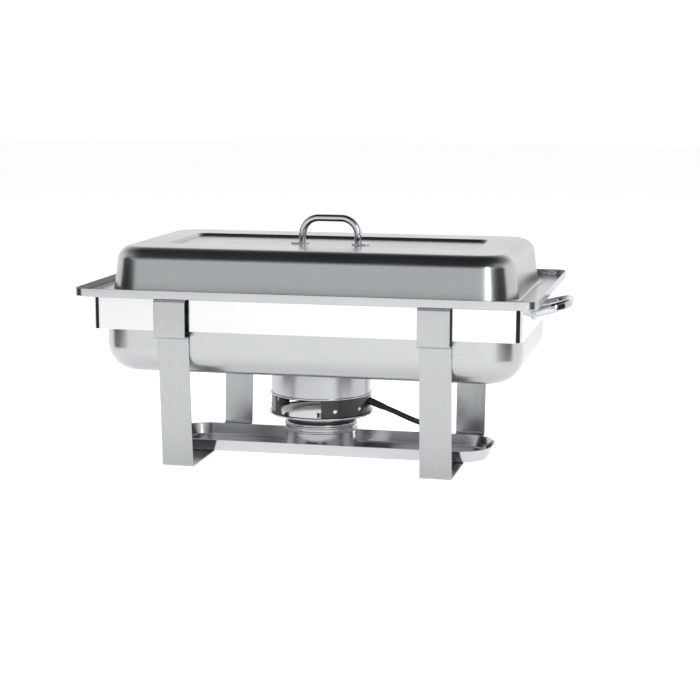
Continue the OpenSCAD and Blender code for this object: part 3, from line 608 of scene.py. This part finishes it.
def bow_bar(reach, start=0.0, span=grip_span, bend=22, thick=9, wide=12, corner=3.5):
    """Bar of a handle in mm, its two arms along Z from start to the bends, its grip along X."""
    made = bmesh.new()
    end = [round_outline(made, thick, wide, corner, start)]
    bmesh.ops.translate(made, vec=(-span / 2 * mm, 0, 0), verts=made.verts[:])
    arm = reach - thick / 2 - bend
    run = (arm - start) * mm
    for vec, middle in (((0, 0, run), -span / 2 + bend),
                        (((span - 2 * bend) * mm, 0, 0), span / 2 - bend),
                        ((0, 0, -run), None)):
        grown = bmesh.ops.extrude_face_region(made, geom=end)
        bmesh.ops.translate(made, vec=vec, verts=kind(grown["geom"], bmesh.types.BMVert))
        bmesh.ops.delete(made, geom=end, context="FACES_ONLY")
        end = kind(grown["geom"], bmesh.types.BMFace)
        if middle is not None:
            grown = bmesh.ops.spin(made, geom=end, cent=(middle * mm, 0, arm * mm), axis=(0, 1, 0),
                                   angle=math.pi / 2, steps=14)
            bmesh.ops.delete(made, geom=end, context="FACES_ONLY")
            end = kind(grown["geom_last"], bmesh.types.BMFace)
    bmesh.ops.holes_fill(made, edges=[edge for edge in made.edges if edge.is_boundary])
    bmesh.ops.recalc_face_normals(made, faces=made.faces[:])
    return made


def plate(length, width, corner, height):
    """A flat plate with round corners and softened top edges, standing on Z 0, in mm."""
    made = bmesh.new()
    grown = bmesh.ops.extrude_face_region(made, geom=[round_outline(made, length, width, corner)])
    bmesh.ops.translate(made, vec=(0, 0, height * mm),
                        verts=kind(grown["geom"], bmesh.types.BMVert))
    bmesh.ops.recalc_face_normals(made, faces=made.faces[:])
    top = [edge for edge in made.edges if all(v.co.z > 0.9 * height * mm for v in edge.verts)]
    bmesh.ops.bevel(made, geom=top, offset=min(0.6, height * 0.4) * mm, offset_type="OFFSET",
                    segments=3, affect="EDGES", profile=0.5, material=-1)
    return made


# The lid's handle, each pad reaching out past its arm
pad_out = 13 / 4
lid_bow = bow_bar(38.5)
for side in (-1, 1):
    join(lid_bow, plate(22, 16, 3.5, 2),
         Matrix.Translation((side * (grip_span / 2 + pad_out) * mm, 0, 0)))
lid_bow.transform(Matrix.Translation((0, 0, panel_z * mm)))
show("lid_bow_handle", finish_mesh(lid_bow, "lid_bow_handle", chrome), "lid", "chrome_plate",
     "lid_handle")

# The end handles, tilted up from the band's outer face
end_tilt = math.radians(15)
end_reach, band_hx, end_grip_z = 45, 270.9, 197
foot_r, foot_t = 8.5, 3
for name, side, cad in (("end_bow_handle_right", 1, "end_handle_right"),
                        ("end_bow_handle_left", -1, "end_handle_left")):
    bow = bow_bar(end_reach / math.cos(end_tilt), start=1.9)
    bow.transform(Matrix.Translation((band_hx * mm, 0, end_grip_z * mm))
                  @ Matrix.Rotation(math.pi / 2 - end_tilt, 4, "Y")
                  @ Matrix.Rotation(math.pi / 2, 4, "Z"))
    for place in (-grip_span / 2, grip_span / 2):
        foot = turned_shape(rounded([(0, 0), (foot_r, 0), (foot_r, foot_t, 1.2), (0, foot_t)]),
                            around=48)
        join(bow, foot, Matrix.Translation((band_hx * mm, place * mm, end_grip_z * mm))
             @ Matrix.Rotation(math.pi / 2, 4, "Y"))
    if side < 0:
        bow.transform(Matrix.Rotation(math.pi, 4, "Z"))
    show(name, finish_mesh(bow, name, chrome), "stand", "chrome_plate", cad)

# ---------------------------------------------------------------------------------------------
# Stand. A flat band of mirror-polished stainless steel, and two satin strips, each bent in one
# piece into a front leg, a floor strip and a rear leg, with a bracket up to the band at each end.
# ---------------------------------------------------------------------------------------------

# Stainless steel polished to a mirror: near-white where the room is, with the finest haze
mirror_steel = brushed_metal("stainless_steel_mirror_polished", "#d2d3d3", 0.1, "X", depth=0.05)

band_hy, band_corner, band_low, band_high, band_t = 159, 12, 176, 216, 1.2
band = hoop(2 * band_hx, 2 * band_hy, band_corner, band_low, band_high, 10)
frame_band = show("frame_band_polished", finish_mesh(band, "frame_band_polished", mirror_steel),
                  "stand", "polished_steel", "frame_band")
wall(frame_band, band_t, 0.35)

# The strips are brushed along their length, so on the legs the grain stands upright
leg_steel = brushed_metal("stainless_steel_strip_brushed", "#b1b3b4", 0.26, "Z")


def strip(line, width, bend):
    """A strip bent along a line of (y, z) points in mm, its bends rounded."""
    made = bmesh.new()
    first = made.verts.new((-width / 2 * mm, line[0][0] * mm, line[0][1] * mm))
    second = made.verts.new((width / 2 * mm, line[0][0] * mm, line[0][1] * mm))
    edge = made.edges.new((first, second))
    folds = []
    here = line[0]
    for point in line[1:]:
        grown = bmesh.ops.extrude_edge_only(made, edges=[edge])
        fresh = kind(grown["geom"], bmesh.types.BMVert)
        bmesh.ops.translate(made, vec=(0, (point[0] - here[0]) * mm, (point[1] - here[1]) * mm),
                            verts=fresh)
        here = point
        edge = made.edges.get(fresh)
        folds.append(edge)
    for fold in folds[:-1]:
        turn = math.degrees(fold.calc_face_angle(0))
        bmesh.ops.bevel(made, geom=[fold], offset=bend_reach(bend, turn) * mm, offset_type="OFFSET",
                        segments=5, affect="EDGES", profile=0.5, material=-1)
    bmesh.ops.recalc_face_normals(made, faces=made.faces[:])
    return made


# The middle line of half a strip: hook over the band, bracket, step in, leaning leg, floor
leg_x, leg_w, leg_t = 165.9, 40, 2
half_line = [(157.8, 217), (169, 217), (169, 168.5), (153, 168.5), (141, 1)]
leg_line = [(-y, z) for y, z in half_line] + half_line[::-1]
for name, side, cad in (("leg_strip_left", -1, "leg_left"), ("leg_strip_right", 1, "leg_right")):
    leg = strip(leg_line, leg_w, 4)
    leg.transform(Matrix.Translation((side * leg_x * mm, 0, 0)))
    piece = show(name, finish_mesh(leg, name, leg_steel), "stand", "satin_steel", cad)
    wall(piece, leg_t, 0.45, 0)

# Burner tray: thin pressed steel standing on the floor strips, its wall flared outwards
tray_hx, tray_hy, tray_corner = 217.9, 55.8, 45
tray_high, tray_flare = 16, 20
tray_in = tray_high * math.tan(math.radians(tray_flare))
tray_sheet = pressed_sheet([
    (tray_hx, tray_hy, tray_corner, leg_t + tray_high, 0),
    (tray_hx - tray_in, tray_hy - tray_in, tray_corner - tray_in, leg_t,
     bend_reach(3, 90 - tray_flare))], -1)

# Stainless steel left bright from the rolling mill: clearer, streaked reflections
tray_steel = brushed_metal("stainless_steel_tray_bright", "#cdced0", 0.16, "X", depth=0.1)
burner_tray = show("burner_tray_pressed", finish_mesh(tray_sheet, "burner_tray_pressed", tray_steel),
                   "stand", "satin_steel", "burner_tray")
wall(burner_tray, sheet_t, sheet_edge)

# ---------------------------------------------------------------------------------------------
# Heating unit. A spun can carries a shallow dish, a black cage with two windows, and a drum with
# the heating plate on top.
# ---------------------------------------------------------------------------------------------
unit_x = -12
unit_axis = Matrix.Translation((unit_x * mm, 0, 0))


def spun_metal(name, colour, rough, ring_mm=1.0, depth=0.04, metallic=1.0):
    """Metal turned on a lathe: fine rings about the axis of the heating unit."""
    made, tree, at = start_material(name)
    centred = add(tree, "ShaderNodeMapping", {"Vector": at, "Location": (-unit_x * mm, 0, 0)})
    split = add(tree, "ShaderNodeSeparateXYZ", {"Vector": centred.outputs[0]})
    flat = add(tree, "ShaderNodeCombineXYZ", {"X": split.outputs["X"], "Y": split.outputs["Y"]})
    out = add(tree, "ShaderNodeVectorMath", {0: flat.outputs[0]}, operation="LENGTH")
    rings_at = add(tree, "ShaderNodeCombineXYZ", {"X": out.outputs["Value"], "Z": split.outputs["Z"]})
    rings = add(tree, "ShaderNodeTexNoise", {"Vector": rings_at.outputs[0],
                                             "Scale": 1000 / ring_mm / 6, "Detail": 3.0})
    cloud = add(tree, "ShaderNodeTexNoise", {"Vector": at, "Scale": 25.0, "Detail": 2.0})
    both = add(tree, "ShaderNodeMath", {0: rings.outputs[0], 1: cloud.outputs[0]}, operation="ADD")
    bump = add(tree, "ShaderNodeBump", {"Height": rings.outputs[0], "Strength": depth,
                                        "Distance": 0.0002})
    shader = add(tree, "ShaderNodeBsdfPrincipled", {
        "Base Color": linear(colour), "Metallic": metallic, "Normal": bump.outputs[0],
        "Roughness": spread(tree, both.outputs[0], rough - 0.03, rough + 0.03, 0.7, 1.3)})
    end_material(tree, shader)
    return made


# Aluminium spun and left satin: a soft grey with broad upright highlights
spun_aluminium = spun_metal("aluminium_spun_satin", "#b2b4b6", 0.26)
# Mild steel with bright nickel: clearer reflections on the dish and the base plate
bright_nickel = spun_metal("nickel_plate_spun", "#bfc0c0", 0.15, depth=0.06)


def turned_piece(name, line, material, slot, cad, around=128):
    """A turned piece of the heating unit, from its outline of (radius, height) points in mm."""
    made = turned_shape(rounded(line), unit_axis, around)
    show(name, finish_mesh(made, name, material), "stand", slot, cad)


# Can: aluminium, spun, open below, with two beads near its top that stiffen it
bolt_r, can_r, can_top, bead_out = 3.2, 47, 41.5, 1.2
can_line = [(bolt_r, can_top), (can_r, can_top, 1.2)]
for down in (4, 10.5):
    z = can_top - down
    can_line += [(can_r, z + 1.7, 0.3), (can_r + bead_out, z + 0.8, 0.6),
                 (can_r + bead_out, z - 0.8, 0.6), (can_r, z - 1.7, 0.3)]
can_line += [(can_r, 3), (can_r - 1, 3), (can_r - 1, can_top - 1, 0.6), (bolt_r, can_top - 1)]
can_line.append(can_line[0])
turned_piece("heater_can_spun", can_line, spun_aluminium, "satin_aluminium", "heater_can")

# Spacer: a disc between the can and the dish, which keeps the heat up. Its near-black colour is
# painted shade: it stands for the shadow in the gap under the dish
spacer_shade_black, tree, at = start_material("spacer_painted_shade_black")
speck = add(tree, "ShaderNodeTexNoise", {"Vector": at, "Scale": 420.0, "Detail": 2.0})
# Near-black base colour: painted shade of the gap under the dish
shader = add(tree, "ShaderNodeBsdfPrincipled", {
    "Base Color": linear("#0e0e0f"), "Roughness": spread(tree, speck.outputs[0], 0.4, 0.6)})
end_material(tree, shader)
dish_z = 46
spacer_line = [(bolt_r, can_top), (44, can_top), (44, dish_z, 0.6), (bolt_r, dish_z),
               (bolt_r, can_top)]
turned_piece("can_spacer_disc", spacer_line, spacer_shade_black, "black_enamel", "can_spacer", 96)

# Dish: nickel-plated steel, spun to a flat floor, a slope, a ledge and a small upturned lip
dish_line = [(bolt_r, dish_z), (50, dish_z, 1.5), (59.5, 52, 1.5), (69, 52, 0.8), (69, 54, 0.3),
             (68.2, 54, 0.3), (68.2, 53, 0.2), (59.2, 53, 1.0), (49.7, dish_z + 1, 1.0),
             (bolt_r, dish_z + 1), (bolt_r, dish_z)]
turned_piece("heater_dish_spun", dish_line, bright_nickel, "satin_aluminium", "heater_dish")

# Cage: a strip of steel bent to a ring, punched with two windows and stove-enamelled black
black_enamel, tree, at = start_material("black_stove_enamel_on_steel")
skin = add(tree, "ShaderNodeTexNoise", {"Vector": at, "Scale": 260.0, "Detail": 2.0})
bump = add(tree, "ShaderNodeBump", {"Height": skin.outputs[0], "Strength": 0.1,
                                    "Distance": 0.0003})
shader = add(tree, "ShaderNodeBsdfPrincipled", {
    "Base Color": linear("#0b0c0d"), "Normal": bump.outputs[0], "Coat Weight": 0.3,
    "Roughness": spread(tree, skin.outputs[0], 0.28, 0.42)})
end_material(tree, shader)
# The windows, in degrees round from the front: the first two spans are one window
windows_at = ((-1, 13), (309, 361), (150, 235))
cage_r, cage_low, cage_high, cage_border = 65.5, 53, 78, 1.4
window_low, window_high = cage_low + cage_border, cage_high - cage_border
cage = bmesh.new()
last = cage.verts.new((cage_r * mm, 0, cage_low * mm))
for height in (window_low, window_high, cage_high):
    grown = bmesh.ops.extrude_vert_indiv(cage, verts=[last])
    last = grown["verts"][0]
    last.co.z = height * mm
bmesh.ops.spin(cage, geom=cage.verts[:] + cage.edges[:], axis=(0, 0, 1), cent=(0, 0, 0), steps=360,
               angle=2 * math.pi, use_merge=True)
windows = []
for face in cage.faces:
    middle = face.calc_center_median()
    turned = (math.degrees(math.atan2(middle.x, -middle.y)) + 360) % 360
    if window_low * mm < middle.z < window_high * mm and any(
            low < turned < high for low, high in windows_at):
        windows.append(face)
bmesh.ops.delete(cage, geom=windows, context="FACES")
bmesh.ops.recalc_face_normals(cage, faces=cage.faces[:])
cage.transform(unit_axis)
heater_cage = show("heater_cage_punched", finish_mesh(cage, "heater_cage_punched", black_enamel),
                   "stand", "black_enamel", "heater_cage")
wall(heater_cage, 1.2, 0.25)

# Rivets: domed zinc-plated heads that hold the cage to clips on the dish
zinc, tree, at = start_material("zinc_plate_bright")
marks = add(tree, "ShaderNodeTexNoise", {"Vector": at, "Scale": 500.0, "Detail": 2.0})
bump = add(tree, "ShaderNodeBump", {"Height": marks.outputs[0], "Strength": 0.1,
                                    "Distance": 0.0002})
shader = add(tree, "ShaderNodeBsdfPrincipled", {
    "Base Color": linear("#d2d5d8"), "Metallic": 1.0, "Normal": bump.outputs[0],
    "Roughness": spread(tree, marks.outputs[0], 0.14, 0.26, 0.35, 0.65)})
end_material(tree, shader)
rivet_line = [(0, -2.6), (2.6, -2.6, 0.4), (2.6, -1.5), (1.5, -1.5), (1.5, 0), (2.8, 0),
              (2.8, 0.4, 0.2), (1.7, 1.1, 0.8), (0, 1.1)]
rivet_z = 63
rivets = bmesh.new()
for turned in (29, 62, 118, -70, -100):
    rivet = turned_shape(rounded(rivet_line), around=24)
    join(rivets, rivet, unit_axis @ Matrix.Rotation(math.radians(turned - 90), 4, "Z")
         @ Matrix.Translation((cage_r * mm, 0, rivet_z * mm)) @ Matrix.Rotation(math.pi / 2, 4, "Y"))
show("cage_rivets_domed", finish_mesh(rivets, "cage_rivets_domed", zinc), "stand", "zinc_steel",
     "cage_rivets")

# Drum: spun aluminium wall on a wider base plate with a thin bright edge
base_line = [(0.1, 78), (67.5, 78, 0.4), (67.5, 79.5, 0.4), (0.1, 79.5), (0.1, 78)]
turned_piece("drum_base_plate", base_line, bright_nickel, "satin_aluminium", "drum_base")
drum_line = [(65, 79.5), (65, 116.5, 0.3), (64, 116.5), (64, 79.5), (65, 79.5)]
turned_piece("drum_wall_spun", drum_line, spun_aluminium, "satin_aluminium", "drum_shell")
plate_line = [(0, 112), (63.8, 112), (63.8, 116.5), (65, 116.5, 0.3), (65, 118, 0.6), (0, 118)]
turned_piece("heating_plate_turned", plate_line, spun_aluminium, "satin_aluminium", "hot_plate")

# ---------------------------------------------------------------------------------------------
# Parts inside the unit, and fixings. They keep their plain engineering shapes.
# ---------------------------------------------------------------------------------------------


def moulded(name, colour, low, high, grain_mm=0.8, metallic=0.0):
    """A plain finish with the slight unevenness of its surface, from low to high roughness."""
    made, tree, at = start_material(name)
    skin = add(tree, "ShaderNodeTexNoise", {"Vector": at, "Scale": 1000 / grain_mm / 4,
                                            "Detail": 2.0})
    bump = add(tree, "ShaderNodeBump", {"Height": skin.outputs[0], "Strength": 0.15,
                                        "Distance": 0.0003})
    shader = add(tree, "ShaderNodeBsdfPrincipled", {
        "Base Color": linear(colour), "Metallic": metallic, "Normal": bump.outputs[0],
        "Roughness": spread(tree, skin.outputs[0], low, high, 0.35, 0.65)})
    end_material(tree, shader)
    return made


# Brass, turned: warm yellow with clear highlights
brass = moulded("brass_turned", "#b08d4a", 0.2, 0.35, metallic=1.0)
# Heat-proof nickel alloy, oxidised in use: a dull greenish grey
heater_sheath = moulded("alloy_sheath_oxidised", "#55564f", 0.4, 0.6, metallic=1.0)
# Steatite ceramic, unglazed: a chalky cream
ceramic = moulded("steatite_ceramic_unglazed", "#e6e0cf", 0.6, 0.8)
# Mica board, pressed: a matt straw colour with a coarse flake
fibre_board = moulded("mica_board_pressed", "#cfc6ae", 0.7, 0.9, grain_mm=1.5)
# Silicone rubber, extruded: a soft dull brick red
silicone = moulded("silicone_rubber_lead", "#8c2f28", 0.45, 0.6)
# Rubber, moulded: matt black
dark_rubber = moulded("rubber_moulded_black", "#141414", 0.55, 0.7)
# Nickel plate: bright, a little warm
pin_nickel = moulded("nickel_plate_bright", "#cfd0cc", 0.12, 0.24, metallic=1.0)

for material, names in (
        (zinc, ("column_bolt", "column_nut", "drum_foot_screws", "end_handle_rivets",
                "lid_handle_screws", "lid_handle_washers", "element_bracket", "element_screw",
                "disc_spacers")),
        (brass, ("terminal_screws", "earth_screw")),
        (heater_sheath, ("heating_element", "thermostat")),
        (ceramic, ("terminal_block", "thermal_fuse")),
        (fibre_board, ("insulation_disc",)),
        (silicone, ("internal_leads",)),
        (dark_rubber, ("lead_bushing", "cord_tail")),
        (pin_nickel, ("plug_pins",))):
    for name in names:
        for place in nodes[name].material_slots:
            place.material = material
